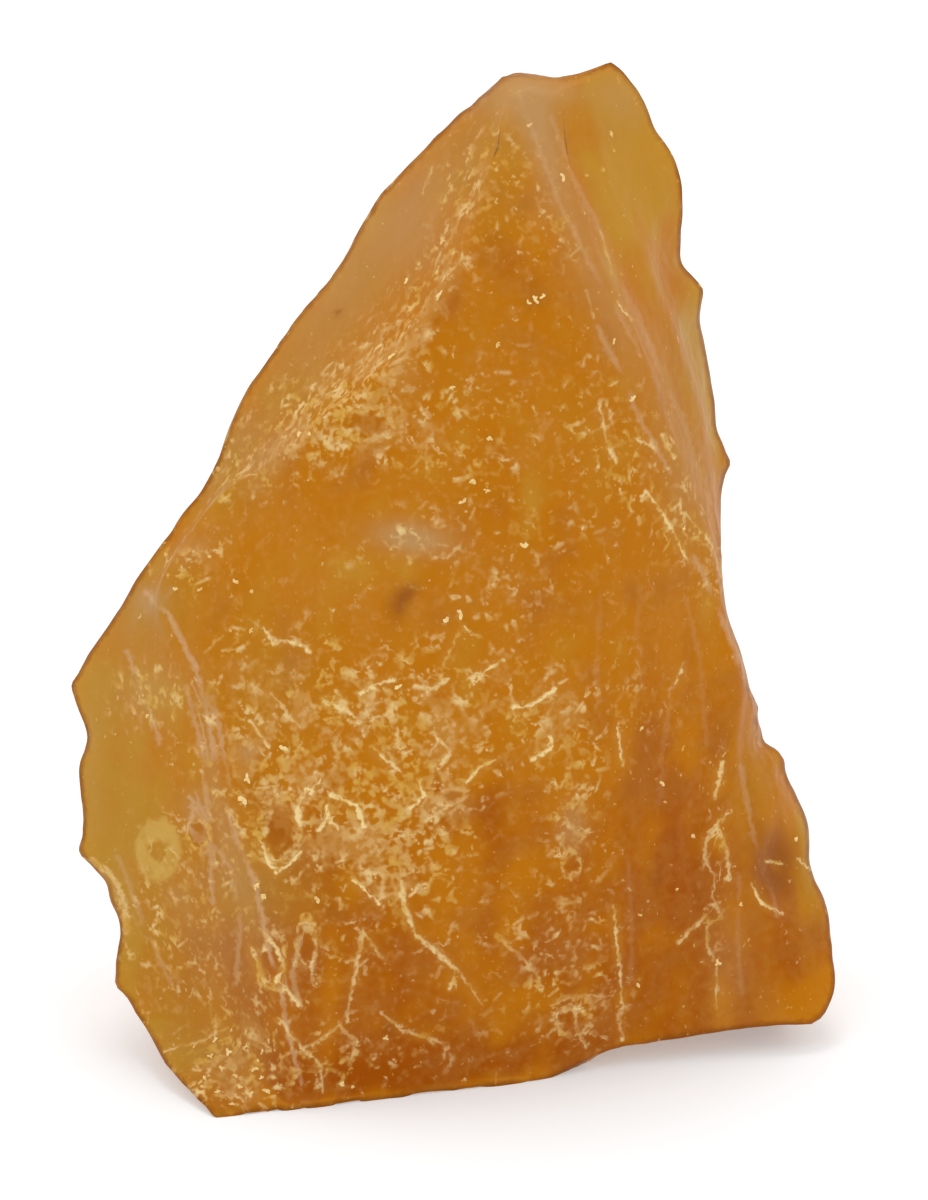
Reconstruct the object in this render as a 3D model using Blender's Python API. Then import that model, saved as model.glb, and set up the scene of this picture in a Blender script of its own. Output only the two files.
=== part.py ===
"""A piece of raw copal: one broken lump of fossil tree resin that stands on a flat fracture.

The lump is lofted. Each ridge line is a fracture edge, or a guide over the swell of a face, that climbs
from the foot to the crown. Rings through the lines make the skin, faces between two ridges are hollowed
as a resin fracture is, and chips are bitten out of the skin afterwards.
Sizes are in millimetres in the tables and metres in the mesh. The front faces -Y, and +Z is up.
"""

import math
from collections import namedtuple

import bmesh
import bpy
import numpy as np
from mathutils import Vector, noise

MM = 0.001

# Driving dimensions, in millimetres
HEIGHT = 60.4  # foot to crown; the ridge lines are drawn at this height, and all else scales with it
RINGS = 56  # rings between lip and crown
SWELL_SIZE, SWELL_DEPTH = 11.0, 0.4  # slow waves of the whole skin
RIPPLE_SIZE, RIPPLE_DEPTH = 3.6, 0.13  # small unevenness of every fracture
NOISE_START = Vector((13.1, 4.7, 29.3))
FLOOR_FUZZ = 0.01  # a point lower than this belongs to the foot
LIP = 0.25  # the skin just above the foot never comes closer to the floor than this

# Copal as the photograph shows it: waxy orange resin
RESIN_COLOUR = (0.51, 0.19, 0.018, 1.0)
RESIN_ROUGHNESS = 0.32

# foot: where the line meets the floor. path: (z, x, y) from the lip to the crown.
# sharp: 1 is a crisp ridge, 0 a smooth swell. steps: columns of skin up to the next line.
# hollow: (z, depth) pairs, how deep the face after this line is scooped between its two lines.
Ridge = namedtuple("Ridge", "name sharp steps foot path hollow")

RIDGES = [
    Ridge(
        "left_edge", 1.0, 2, (-14.8, -15.1),
        [(0.3, -15.2, -14.9), (1.9, -18.4, -9.6), (3.9, -20.8, -5.4), (4.8, -21.3, -5.0),
         (7.1, -21.2, -4.6), (8.6, -21.2, -4.2), (11.0, -22.4, -3.4), (12.1, -23.4, -3.0),
         (14.4, -23.3, -2.4), (16.8, -23.7, -1.8), (19.1, -23.2, -1.0), (22.0, -24.0, 0.0),
         (24.2, -22.5, -0.1), (30.1, -18.9, 0.0), (34.9, -15.6, 0.8), (40.4, -13.1, 1.6),
         (45.0, -10.0, 2.0), (48.2, -7.4, 2.3), (51.1, -5.8, 2.5), (53.6, -4.0, 2.5),
         (56.1, -1.6, 2.3), (58.0, 0.5, 2.0), (60.1, 2.2, 1.1)],
        [(0, 0.0), (60, 0.0)],
    ),
    Ridge(
        "left_bevel", 0.4, 6, (-13.6, -14.8),
        [(0.4, -14.1, -14.8), (4.0, -18.8, -7.4), (8.0, -19.2, -6.4), (12.0, -20.9, -5.4),
         (16.0, -21.4, -4.2), (20.0, -21.5, -2.8), (24.0, -21.0, -1.9), (28.0, -19.3, -1.4),
         (34.0, -15.6, -0.2), (40.0, -12.0, -0.1), (45.0, -8.6, 0.2), (50.0, -5.1, 0.6),
         (55.0, -1.5, 0.8), (60.0, 2.2, 0.5)],
        [(0, 0.0), (8, 0.2), (20, -0.1), (28, 0.1), (36, 0.4), (50, 0.6), (60, 0.0)],
    ),
    Ridge(
        "left_ridge", 0.75, 7, (-9.7, -13.8),
        [(0.4, -9.9, -13.6), (4.7, -10.6, -13.8), (10.0, -11.9, -12.8), (15.0, -13.1, -11.0),
         (18.9, -14.5, -9.5), (23.2, -15.6, -7.5), (26.5, -17.1, -5.8), (29.4, -18.4, -3.5),
         (35.1, -14.7, -2.6), (37.7, -11.6, -4.2), (41.5, -7.9, -5.8), (45.5, -3.8, -6.7),
         (49.1, -1.1, -6.4), (53.0, 0.8, -5.2), (56.3, 1.6, -3.4), (59.6, 2.5, -0.6)],
        [(0, 0.0), (60, 0.0)],
    ),
    Ridge(
        "front_left_swell", 0.0, 5, (-2.2, -11.7),
        [(0.4, -2.2, -11.5), (10.0, -3.0, -12.2), (20.0, -5.0, -11.6), (30.0, -6.0, -9.8),
         (38.0, -3.2, -8.6), (45.0, 1.2, -7.6), (52.0, 2.9, -5.9), (59.6, 3.4, -0.7)],
        [(0, 0.0), (60, 0.0)],
    ),
    Ridge(
        "front_middle_swell", 0.0, 4, (5.3, -9.2),
        [(0.4, 5.5, -9.2), (10.0, 5.2, -10.8), (20.0, 4.0, -11.2), (30.0, 3.0, -10.4),
         (38.0, 4.0, -9.2), (45.0, 4.9, -7.9), (52.0, 4.6, -6.0), (59.5, 4.4, -0.5)],
        [(0, 0.0), (60, 0.0)],
    ),
    Ridge(
        "front_right_swell", 0.0, 4, (9.8, -4.2),
        [(1.4, 9.2, -7.8), (10.0, 10.4, -8.6), (20.0, 10.6, -8.2), (30.0, 9.8, -7.6),
         (38.0, 8.6, -7.2), (45.0, 7.8, -6.6), (52.0, 5.8, -5.2), (59.4, 5.2, -0.3)],
        [(0, 0.0), (14, 0.2), (40, 0.1), (60, 0.0)],
    ),
    Ridge(
        "right_ridge", 0.7, 4, (15.0, -1.6),
        [(1.7, 14.6, -6.6), (6.8, 15.3, -5.8), (13.0, 15.4, -4.8), (16.3, 16.3, -3.4),
         (21.9, 16.5, -2.6), (28.2, 15.5, -2.2), (33.3, 14.1, -2.8), (38.5, 12.4, -4.0),
         (45.0, 10.4, -5.0), (49.9, 8.3, -4.7), (55.0, 6.5, -3.2), (59.5, 5.8, 0.0)],
        [(0, 0.0), (30, 0.1), (45, 0.4), (60, 0.1)],
    ),
    Ridge(
        "right_band", 0.45, 4, (18.0, -0.2),
        [(2.0, 18.8, -5.7), (6.5, 19.5, -4.6), (12.0, 18.7, -2.4), (18.0, 17.5, -0.8),
         (24.0, 16.5, -0.2), (30.0, 15.2, 0.4), (38.0, 14.2, 1.0), (43.4, 12.9, 0.0),
         (49.3, 10.8, -0.8), (53.6, 8.9, -0.8), (57.6, 7.7, 0.2), (59.7, 7.2, 1.3)],
        [(0, 0.0), (8, -0.3), (20, 0.0), (40, 0.3), (52, 0.6), (60, 0.0)],
    ),
    Ridge(
        "right_edge", 1.0, 5, (19.4, 3.0),
        [(1.9, 21.3, -5.0), (3.2, 22.7, -3.8), (4.8, 22.7, -2.2), (7.0, 22.4, -0.6),
         (8.6, 22.0, 0.6), (9.6, 21.4, 1.2), (11.3, 21.4, 2.0), (12.7, 21.1, 2.5),
         (15.0, 20.0, 2.3), (16.3, 19.7, 2.1), (17.8, 18.3, 1.6), (23.0, 16.4, 1.6),
         (28.0, 15.1, 3.0), (31.4, 15.1, 3.6), (33.7, 15.6, 4.4), (34.8, 15.9, 4.8),
         (37.8, 15.1, 5.2), (41.5, 14.4, 5.4), (44.0, 14.2, 5.5), (45.3, 14.5, 5.4),
         (46.9, 13.6, 5.2), (47.9, 13.2, 5.0), (52.7, 13.1, 4.4), (56.1, 11.1, 3.9),
         (58.2, 10.5, 3.6), (59.6, 9.6, 3.2), (60.4, 8.7, 2.9)],
        [(0, 0.1), (12, 0.5), (30, 0.7), (48, 0.5), (60, 0.0)],
    ),
    Ridge(
        "back_right_ridge", 0.9, 10, (17.2, 10.6),
        [(0.7, 18.2, 11.4), (8.0, 19.6, 11.0), (15.0, 18.2, 11.4), (24.0, 15.2, 12.0),
         (34.0, 14.0, 11.8), (44.0, 12.6, 10.4), (52.0, 11.4, 8.4), (57.0, 9.4, 6.0),
         (59.7, 8.0, 3.8)],
        [(0, 0.6), (10, 1.5), (26, 2.0), (44, 1.1), (60, 0.0)],
    ),
    Ridge(
        "back_ridge", 0.85, 9, (1.6, 15.4),
        [(0.9, 1.2, 16.2), (10.0, -0.6, 16.8), (20.0, -2.2, 15.6), (29.0, -0.6, 13.8),
         (38.0, 2.6, 12.4), (46.0, 3.4, 10.0), (53.0, 5.0, 7.2), (58.0, 5.6, 4.6),
         (59.6, 5.4, 2.6)],
        [(0, 0.4), (10, 1.2), (24, 1.4), (38, 0.9), (60, 0.0)],
    ),
    Ridge(
        "back_left_ridge", 0.55, 8, (-13.2, 9.2),
        [(0.7, -14.0, 10.0), (8.0, -16.0, 10.4), (16.0, -17.0, 9.4), (24.0, -14.8, 8.8),
         (34.0, -8.6, 9.2), (44.0, -4.0, 8.2), (52.0, -0.2, 5.8), (57.6, 2.2, 3.6),
         (59.9, 3.2, 2.1)],
        [(0, 0.4), (12, 1.0), (24, 0.7), (40, 0.8), (60, 0.0)],
    ),
]

# at: a point near the skin. mouth: half the chip's width. depth: how far it bites.
Chip = namedtuple("Chip", "name at mouth depth")

CHIPS = [
    Chip("waxy_pit_in_front", (-11.6, -12.2, 16.9), 2.1, 0.6),
    Chip("stained_hollow_of_lobe", (19.6, -1.8, 10.4), 2.8, 0.8),
    Chip("scoop_beside_belly", (0.6, -11.6, 13.0), 5.4, 0.4),
    Chip("shell_fracture_of_back", (9.0, 13.4, 22.0), 11.0, 2.6),
    Chip("upper_flake_of_back", (-1.0, 9.4, 42.0), 7.0, 1.5),
    Chip("lower_flake_of_back", (-8.5, 13.6, 10.0), 7.5, 1.6),
    Chip("left_flake_of_back", (-18.0, 5.4, 16.0), 4.4, 0.8),
    Chip("foot_chip_of_back", (8.0, 15.6, 1.8), 4.0, 1.1),
    Chip("crown_flake_of_back", (9.6, 6.4, 53.0), 4.0, 0.7),
    Chip("nick_of_back_ridge", (-2.2, 16.0, 19.0), 2.4, 0.8),
]


def clear_scene():
    for obj in list(bpy.data.objects):
        bpy.data.objects.remove(obj)


def along(path, share):
    """The point of a ridge line at this share of its climb, by a cubic that keeps most of each corner."""
    keep = 0.55  # of a smooth curve's tangent, so that corners stay crisp
    knots = np.array(path)
    z = knots[0, 0] + share * (knots[-1, 0] - knots[0, 0])
    i = int(np.clip(np.searchsorted(knots[:, 0], z) - 1, 0, len(knots) - 2))
    span = knots[i + 1, 0] - knots[i, 0]
    t = (z - knots[i, 0]) / span
    tangents = []
    for k in (i, i + 1):
        low, high = max(k - 1, 0), min(k + 1, len(knots) - 1)
        slope = (knots[high, 1:] - knots[low, 1:]) / (knots[high, 0] - knots[low, 0])
        tangents.append(keep * span * slope + (1 - keep) * (knots[i + 1, 1:] - knots[i, 1:]))
    x, y = hermite(knots[i, 1:], knots[i + 1, 1:], tangents[0], tangents[1], t)
    return Vector((x, y, z))


def hermite(start, end, leave, arrive, t):
    """The cubic from start to end that leaves and arrives along these tangents."""
    a = 2 * t**3 - 3 * t**2 + 1
    b = t**3 - 2 * t**2 + t
    c = 3 * t**2 - 2 * t**3
    d = t**3 - t**2
    return a * start + b * leave + c * end + d * arrive


def hollow_at(ridge, z):
    heights, depths = zip(*ridge.hollow)
    return float(np.interp(z, heights, depths))


def ring_through(points, scooped):
    """The closed ring of skin through one point of each ridge line."""
    count = len(points)
    ring = []
    for i, ridge in enumerate(RIDGES):
        start, end = points[i], points[(i + 1) % count]
        chord = end - start
        before = points[i - 1]
        after = points[(i + 2) % count]
        next_sharp = RIDGES[(i + 1) % count].sharp
        leave = ridge.sharp * chord + (1 - ridge.sharp) * (end - before) / 2
        arrive = next_sharp * chord + (1 - next_sharp) * (after - start) / 2
        inward = Vector((-chord.y, chord.x, 0)).normalized()
        depth = hollow_at(ridge, start.z) if scooped else 0.0
        for step in range(ridge.steps):
            t = step / ridge.steps
            point = hermite(start, end, leave, arrive, t)
            ring.append(point + inward * depth * math.sin(math.pi * t))
    return ring


def skin_rings():
    """Foot ring on the floor, then the rings from lip to crown."""
    feet = [Vector((*ridge.foot, 0.0)) for ridge in RIDGES]
    rings = [ring_through(feet, scooped=False)]
    for k in range(RINGS + 1):
        share = k / RINGS
        points = [along(ridge.path, share) for ridge in RIDGES]
        rings.append(ring_through(points, scooped=True))
    return rings


def loft(rings):
    """A closed mesh through the rings, capped at the foot and the crown."""
    skin = bmesh.new()
    loops = [[skin.verts.new(point * MM) for point in ring] for ring in rings]
    count = len(loops[0])
    for low, high in zip(loops, loops[1:]):
        for i in range(count):
            j = (i + 1) % count
            skin.faces.new((low[i], low[j], high[j], high[i]))
    skin.faces.new(list(reversed(loops[0])))
    bmesh.ops.poke(skin, faces=[skin.faces.new(loops[-1])])
    return skin


def on_floor(vert):
    return vert.co.z < FLOOR_FUZZ * MM


def roughen(skin):
    """Slow swells and small ripples over the skin. The foot keeps its level, and only its outline moves."""
    skin.normal_update()
    for vert in skin.verts:
        place = vert.co / MM + NOISE_START
        swell = noise.noise(place / SWELL_SIZE) * SWELL_DEPTH
        ripple = noise.noise(place / RIPPLE_SIZE) * RIPPLE_DEPTH
        move = vert.normal * (swell + ripple) * MM
        if on_floor(vert):
            move.z = 0.0
        vert.co += move


def bite(skin, chip):
    """Moves the skin inside a ball onto the ball, as if a chip had flown off."""
    skin.normal_update()
    target = Vector(chip.at) * MM
    nearest = min(skin.verts, key=lambda vert: (vert.co - target).length)
    radius = (chip.mouth**2 + chip.depth**2) / (2 * chip.depth) * MM
    middle = nearest.co + nearest.normal * (radius - chip.depth * MM)
    for vert in skin.verts:
        out = vert.co - middle
        if out.length < radius and not on_floor(vert):
            vert.co = middle + out.normalized() * radius
            vert.co.z = max(vert.co.z, LIP * MM)


def set_on_floor(skin):
    """Puts the middle of the bounding box's floor at the origin, and scales the lump to HEIGHT."""
    spots = np.array([vert.co for vert in skin.verts])
    low, high = spots.min(axis=0), spots.max(axis=0)
    scale = HEIGHT * MM / high[2]
    middle = Vector((*(low + high)[:2] / 2, 0.0))
    for vert in skin.verts:
        vert.co = (vert.co - middle) * scale


def resin_material():
    material = bpy.data.materials.new("raw_copal")
    material.use_nodes = True
    shader = material.node_tree.nodes["Principled BSDF"]
    shader.inputs["Base Color"].default_value = RESIN_COLOUR
    shader.inputs["Roughness"].default_value = RESIN_ROUGHNESS
    shader.inputs["Metallic"].default_value = 0.0
    return material


def copal():
    skin = loft(skin_rings())
    roughen(skin)
    for chip in CHIPS:
        bite(skin, chip)
    set_on_floor(skin)
    bmesh.ops.recalc_face_normals(skin, faces=skin.faces)
    mesh = bpy.data.meshes.new("copal")
    skin.to_mesh(mesh)
    skin.free()
    mesh.shade_smooth()
    mesh.set_sharp_from_angle(angle=math.radians(30))
    mesh.materials.append(resin_material())
    obj = bpy.data.objects.new("copal", mesh)
    bpy.context.scene.collection.objects.link(obj)
    return obj


clear_scene()
copal()
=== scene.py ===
"""The raw copal lump in its soft white studio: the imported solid, refined into fractured, bruised resin.

The photograph is taken as 928 x 1200 pixels. Marks on the front are placed by its pixels, and cast onto the
lump along the camera's rays. The back, which it doesn't show, gets marks of the same kinds at random places.
"""

import math
import random

import bmesh
import bpy
import numpy as np
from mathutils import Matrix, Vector, noise
from mathutils.bvhtree import BVHTree
from mathutils.kdtree import KDTree


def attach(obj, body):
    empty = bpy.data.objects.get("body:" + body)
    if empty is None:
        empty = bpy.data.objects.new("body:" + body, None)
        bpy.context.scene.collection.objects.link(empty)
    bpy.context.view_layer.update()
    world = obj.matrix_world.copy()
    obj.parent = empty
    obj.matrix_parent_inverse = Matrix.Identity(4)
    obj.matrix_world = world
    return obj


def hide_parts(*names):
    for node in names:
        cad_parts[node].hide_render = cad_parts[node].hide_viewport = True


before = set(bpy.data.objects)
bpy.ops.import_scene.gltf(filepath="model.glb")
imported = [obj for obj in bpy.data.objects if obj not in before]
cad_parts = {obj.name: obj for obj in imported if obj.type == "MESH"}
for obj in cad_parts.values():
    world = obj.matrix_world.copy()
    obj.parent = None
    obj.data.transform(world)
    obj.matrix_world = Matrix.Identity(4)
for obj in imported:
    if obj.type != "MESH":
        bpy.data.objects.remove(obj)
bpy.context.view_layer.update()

MM = 0.001
PIXEL = MM / 16.5  # what one pixel of the photograph spans on the lump
BACK_FLOOR = 1110  # the pixel row where the floor lies in the made-up view from behind

MERGE = 0.001 * MM  # corners of the solid that are closer than this are one
FLAT = math.radians(60)  # triangles that meet under this angle are joined to four-sided faces
CREASE_FROM, CREASE_SPAN, CREASE_MOST = 20, 45, 0.9  # degrees, degrees, and the sharpest crease
LEVELS = 2  # subdivisions
SKIN = 0.05 * MM  # how far under the skin the rays for the thickness start
SLANTS = [Vector((0, 0, 0)), Vector((0.5, 0, 0.3)), Vector((-0.5, 0.2, 0)), Vector((0, -0.3, -0.5))]
FAR = 30.0  # pixels beyond which a stroke or the outline says nothing
OUTSIDE = 2.0  # pixels from an edge to the spot that has to be empty where it is on the outline
SHARP_FROM, SHARP_SPAN, SHARP_LEAST = 4, 20, 0.3  # degrees, degrees, and the least strength of the painted dark line along the outline
BEHIND_OFF = 8  # pixels added to the outline's distance on the far side, which shows no painted dark line

# ---- camera ----------------------------------------------------------------
WIDTH, HEIGHT = 928, 1200
SENSOR = 36.0
TARGET = Vector((0.528, -0.693, 27.5)) * MM
ELEVATION = math.radians(20)
DISTANCE = 420 * MM
FOCAL_PX = 6930.0

TO_CAMERA = Vector((0, -math.cos(ELEVATION), math.sin(ELEVATION)))
EYE = TARGET + DISTANCE * TO_CAMERA
UP = Vector((0, math.sin(ELEVATION), math.cos(ELEVATION)))


def make_camera():
    data = bpy.data.cameras.new("camera")
    data.sensor_width = SENSOR
    data.lens = FOCAL_PX * SENSOR / HEIGHT
    data.clip_start, data.clip_end = 0.01, 10
    camera = bpy.data.objects.new("camera", data)
    camera.location = EYE
    camera.rotation_euler = (math.pi / 2 - ELEVATION, 0, 0)
    bpy.context.scene.collection.objects.link(camera)
    bpy.context.scene.camera = camera


def to_pixels(points):
    """Photograph pixels (across, down) of points in metres, one row each."""
    out = points - np.array(EYE)
    depth = -out @ np.array(TO_CAMERA)
    across = WIDTH / 2 + FOCAL_PX * out[:, 0] / depth
    down = HEIGHT / 2 - FOCAL_PX * (out @ np.array(UP)) / depth
    return np.stack([across, down], axis=1)


def ray_of(pixel):
    across = (pixel[0] - WIDTH / 2) / FOCAL_PX
    up = (HEIGHT / 2 - pixel[1]) / FOCAL_PX
    return (Vector((1, 0, 0)) * across + UP * up - TO_CAMERA).normalized()


# ---- marks, in pixels of the photograph --------------------------------------
# Each zone: across, down, half width, half height, turn in degrees, amount
FROST = [
    (470, 190, 26, 60, 20, 0.7), (430, 290, 24, 60, 35, 0.8), (375, 370, 32, 60, 48, 0.85),
    (310, 425, 40, 46, 60, 1.0), (245, 475, 34, 36, 60, 0.7), (360, 430, 60, 34, 0, 0.6),
    (470, 450, 50, 40, 0, 0.35), (415, 540, 40, 20, 0, 0.5), (300, 560, 90, 30, 0, 0.1),
    (330, 690, 70, 60, 0, 0.6), (420, 720, 80, 60, 0, 0.8), (290, 780, 60, 70, 0, 0.9),
    (380, 820, 70, 60, 0, 1.15), (400, 870, 40, 40, 0, 0.9), (440, 800, 40, 50, 0, 0.35),
    (540, 720, 50, 40, 0, 0.75), (575, 800, 22, 70, 0, 0.7), (460, 940, 70, 60, 0, 0.2),
    (570, 930, 50, 60, 0, 0.4), (575, 1010, 50, 36, 0, 0.6), (330, 950, 70, 60, 0, 0.25),
    (330, 1060, 60, 36, 0, 0.45), (235, 1060, 42, 46, 0, 1.3), (440, 1040, 60, 30, 0, 0.3),
    (715, 880, 18, 110, 0, 0.25), (690, 540, 20, 70, -25, 0.55), (615, 430, 30, 60, -15, 0.35),
    (540, 215, 34, 60, -20, 0.5), (150, 695, 36, 34, 0, 0.8), (190, 560, 34, 30, 0, 0.7),
    (480, 420, 150, 80, 0, 0.3), (520, 560, 120, 60, 0, 0.2), (240, 700, 36, 90, 0, 0.4),
    (640, 480, 60, 60, 0, 0.25), (640, 700, 60, 60, 0, 0.2), (200, 880, 60, 90, 0, 0.35),
    (160, 950, 40, 70, 0, 0.35), (500, 620, 60, 50, 0, 0.3),
]
DEEP_SHADE_AND_GLOW = [  # deeper, redder resin where the amount is over 0, and yellower where it is under: partly the resin's own colour, partly painted shade towards the bottom and the lower right, and a painted glow where light comes through the thin edges
    (500, 240, 34, 70, 0, 0.4), (200, 1098, 34, 20, 0, 0.9), (370, 1070, 120, 44, -6, 0.9),
    (665, 890, 70, 120, 0, 0.4), (785, 940, 55, 90, 0, 0.8), (660, 720, 90, 90, 0, 0.3),
    (505, 830, 46, 70, 0, 0.45), (700, 900, 26, 70, 0, 0.5), (270, 960, 60, 120, 0, 0.45),
    (290, 650, 50, 50, 0, 0.3), (400, 930, 70, 60, 0, 0.45), (85, 760, 26, 120, 0, -0.6),
    (510, 960, 50, 60, 0, 0.5), (690, 870, 40, 90, 0, 0.4), (480, 510, 140, 110, 0, -0.1),
    (200, 950, 50, 90, 0, 0.3), (600, 910, 70, 90, 0, 0.25), (470, 1062, 230, 24, -6, 0.8),
    (110, 885, 14, 34, -25, -1.0), (640, 1000, 80, 50, 0, 0.5), (277, 830, 13, 22, 0, 0.5),
    (330, 1000, 90, 60, 0, 0.35), (632, 180, 44, 110, -12, -1.2), (700, 320, 14, 70, 0, -1.6),
    (806, 850, 9, 46, 0, -1.8), (712, 400, 8, 60, -5, -1.3), (130, 800, 70, 140, 0, -0.9),
    (110, 920, 22, 80, -20, -0.9), (370, 860, 90, 50, 0, 0.35), (450, 810, 34, 34, 0, 0.5),
    (440, 1000, 50, 50, 0, 0.4), (300, 600, 60, 60, 0, -0.25), (365, 225, 12, 60, 35, -0.6),
    (800, 800, 16, 60, -15, -0.6), (330, 560, 80, 50, 0, -0.2),
]
HAZE_AND_SHEEN = [  # whitish clouding, and painted sheen where the apex, the upper left slope and the band right of the apex catch the light
    (140, 610, 26, 40, 30, 0.2), (320, 320, 40, 90, 40, 0.3), (420, 200, 30, 60, 40, 0.2),
    (250, 440, 40, 24, -50, 0.25), (412, 538, 36, 15, 8, 0.95), (150, 690, 36, 30, 0, 0.35),
    (573, 825, 13, 24, 0, 0.5), (248, 752, 10, 10, 0, 0.6), (212, 770, 10, 90, -8, 0.35),
    (240, 870, 12, 60, -16, 0.3), (150, 600, 16, 12, 0, 0.5), (190, 550, 30, 14, -20, 0.3),
    (270, 465, 30, 14, -55, 0.35), (640, 350, 26, 90, -22, 0.1), (680, 480, 20, 70, -15, 0.3),
    (730, 960, 26, 60, 0, 0.2), (548, 150, 16, 60, -14, 0.4), (572, 215, 20, 100, -21, 0.3),
    (230, 930, 60, 90, 0, 0.2), (530, 110, 24, 40, -10, 0.4), (622, 95, 26, 30, -35, 0.4),
    (500, 95, 40, 26, 0, 0.5), (560, 92, 30, 14, 0, 0.4), (400, 215, 46, 90, 40, 0.3),
    (612, 310, 22, 80, -22, 0.2), (86, 720, 20, 90, 0, 0.1), (420, 250, 40, 30, 40, 0.15),
    (235, 1060, 40, 34, 0, 0.25), (180, 900, 14, 16, 0, 0.2), (195, 805, 14, 18, 0, 0.35),
]
PAINTED_SHADE_ZONES = [  # painted shade: a duller, browner colour that darkens the apex, the slopes and the edges
    (540, 100, 70, 50, 0, 0.3), (480, 155, 60, 40, 0, 0.3), (350, 290, 40, 80, 35, 0.3),
    (300, 390, 50, 40, 0, 0.4), (212, 460, 44, 50, 0, 0.7), (140, 600, 60, 50, 0, 0.5),
    (95, 780, 40, 140, 0, 0.35), (150, 900, 50, 160, 0, 0.35), (180, 1060, 60, 60, 0, 0.45),
    (812, 880, 20, 50, 0, 0.5), (270, 680, 50, 60, 0, 0.3), (270, 890, 60, 40, 0, 0.3),
    (690, 340, 30, 60, 0, 0.3), (700, 450, 30, 100, 0, 0.25), (755, 780, 24, 60, 0, 0.3),
    (500, 210, 40, 40, 0, 0.2), (240, 860, 50, 100, 0, 0.2),
]
STAINS = [
    (406, 594, 13, 8, -40, 1.1), (397, 609, 8, 14, 15, 0.9), (774, 862, 20, 27, 0, 1.3),
    (780, 890, 16, 14, 0, 0.4), (657, 881, 6, 18, 0, 0.5), (389, 1028, 6, 7, 0, 1.0),
    (338, 313, 3, 3.5, 0, 1.0), (702, 893, 8, 24, 0, 0.3), (430, 1062, 10, 8, 0, 0.4),
]
RING = (158, 850, 23, 32)  # the pale ring on the left face: across, down, half width, half height

# Each stroke: brightness, width in pixels, then its points
STROKES = [
    (0.8, 5, (283, 641), (297, 643), (307, 650)), (0.8, 5, (265, 631), (272, 642)),
    (0.8, 6, (324, 701), (349, 712), (361, 726), (363, 733)), (0.6, 5, (361, 726), (374, 719)),
    (0.6, 5, (338, 694), (349, 712)), (0.9, 6, (363, 692), (381, 683), (390, 681)),
    (0.7, 7, (418, 687), (432, 690), (445, 681)), (0.6, 4, (457, 637), (445, 662)),
    (0.8, 4, (470, 678), (477, 672), (484, 674), (477, 682)), (0.9, 6, (484, 671), (500, 662)),
    (0.9, 5, (470, 780), (481, 767), (491, 762)), (0.9, 6, (411, 808), (424, 797), (420, 783)),
    (1.0, 7, (334, 796), (356, 806), (363, 824)), (1.0, 7, (304, 792), (297, 803), (299, 822)),
    (0.9, 5, (313, 789), (318, 783)), (1.0, 6, (320, 828), (329, 819), (327, 810)),
    (0.9, 5, (329, 819), (336, 826)), (0.8, 5, (252, 724), (266, 744)),
    (0.6, 5, (274, 696), (281, 706), (288, 717), (297, 724)), (0.8, 5, (374, 749), (397, 769)),
    (0.7, 5, (434, 735), (452, 753), (440, 767)),
    (1.0, 5, (262, 846), (267, 860), (276, 872), (284, 868), (298, 855)),
    (0.5, 9, (94, 862), (107, 872), (117, 890), (124, 910), (124, 930)), (1.0, 5, (355, 881), (376, 901)),
    (0.75, 6, (402, 886), (404, 906), (416, 934)), (0.75, 6, (422, 939), (435, 952), (458, 970), (451, 986)),
    (0.5, 4, (458, 970), (480, 1001)), (0.7, 5, (253, 952), (262, 979), (278, 990)),
    (0.8, 6, (262, 932), (275, 946), (284, 966), (276, 981)),
    (0.5, 5, (295, 961), (305, 921), (316, 939), (313, 970)),
    (0.6, 5, (347, 1017), (358, 957), (362, 930), (380, 955)),
    (0.6, 5, (282, 1021), (291, 1035), (305, 1050), (322, 1039), (338, 1025), (355, 1039)),
    (0.6, 5, (305, 1050), (320, 1063), (322, 1088)), (0.5, 5, (384, 1015), (402, 1030), (438, 1041)),
    (0.8, 4, (287, 990), (298, 1003)), (1.0, 5, (515, 707), (528, 707), (552, 691)),
    (0.9, 6, (535, 758), (552, 747), (550, 739)), (0.8, 4, (618, 732), (622, 762)),
    (0.7, 4, (614, 910), (619, 961), (622, 1012)), (0.7, 4, (618, 1015), (622, 1036)),
    (0.5, 4, (555, 1004), (576, 996), (611, 995)), (0.5, 5, (574, 999), (576, 1031), (584, 1044)),
    (0.5, 6, (499, 937), (531, 967)), (0.7, 6, (722, 766), (716, 795)),
    (0.65, 6, (729, 814), (716, 825), (726, 846), (729, 876)),
    (0.5, 4, (710, 833), (706, 857), (716, 881), (713, 897), (721, 918), (708, 924), (708, 948), (717, 964)),
    (0.5, 4, (717, 964), (716, 1004)), (0.6, 5, (681, 940), (705, 918)), (0.7, 4, (678, 680), (683, 667)),
    (0.5, 4, (601, 235), (610, 269)), (0.5, 4, (587, 295), (593, 313)), (0.8, 4, (620, 305), (629, 316)),
    (0.7, 5, (601, 409), (606, 438), (615, 459)), (0.7, 6, (664, 438), (672, 454)),
    (0.7, 5, (639, 441), (649, 446)), (0.8, 5, (648, 494), (667, 519), (685, 554)),
    (0.6, 4, (688, 516), (706, 539), (717, 573)), (0.5, 3, (425, 190), (432, 172)),
    (0.5, 4, (343, 413), (365, 404), (392, 408)), (0.5, 4, (170, 1052), (200, 1042), (222, 1030)),
    (0.8, 4, (754, 888), (764, 905), (778, 912)), (0.7, 4, (772, 862), (780, 863)),
    (0.9, 3, (800, 862), (812, 874)),
]
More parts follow.
